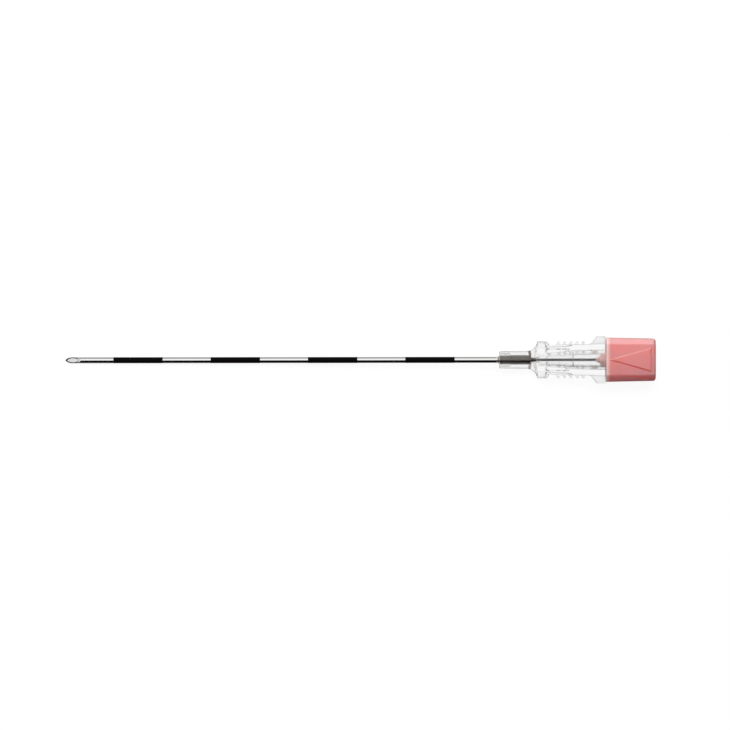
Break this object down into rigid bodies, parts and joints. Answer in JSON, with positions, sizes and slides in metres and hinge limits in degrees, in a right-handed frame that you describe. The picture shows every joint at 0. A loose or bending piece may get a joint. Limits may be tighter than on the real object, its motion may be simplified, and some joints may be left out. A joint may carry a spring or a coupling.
{
  "type": "spinal needle",
  "caption": "Spinal needle with a bevelled steel tube, printed depth marks, a clear grip hub with a conical socket, and a stylet whose coloured cap closes the hub.",
  "frame": {"origin": "centre of the hub's nose face, on the needle's axis", "axes": "+X along the axis from the point to the cap, +Z out of the flat that the bevel and the cap's arrow face, +Y across the lugs"},
  "size_m": [0.1213, 0.0098, 0.0073],
  "materials": {
    "tube_steel": "polished, with a blasted end in the hub",
    "mark_coat": "thin matt coat",
    "clear_plastic": "clear, glossy",
    "adhesive": "clear, set in the well",
    "wire_steel": "drawn wire",
    "cap_plastic": "fine moulded satin"
  },
  "bodies": {
    "needle": {"cannula": "tube_steel", "depth_band_1": "mark_coat", "depth_band_2": "mark_coat", "depth_band_3": "mark_coat", "depth_band_4": "mark_coat", "hub": "clear_plastic", "hub_adhesive": "adhesive"},
    "stylet": {"stylet_wire": "wire_steel", "stylet_cap": "cap_plastic"}
  },
  "joints": [
    {"name": "stylet_withdrawal", "type": "slide", "parent": "needle", "child": "stylet", "axis": [1, 0, 0], "range_m": [0, 0.115]}
  ]
}
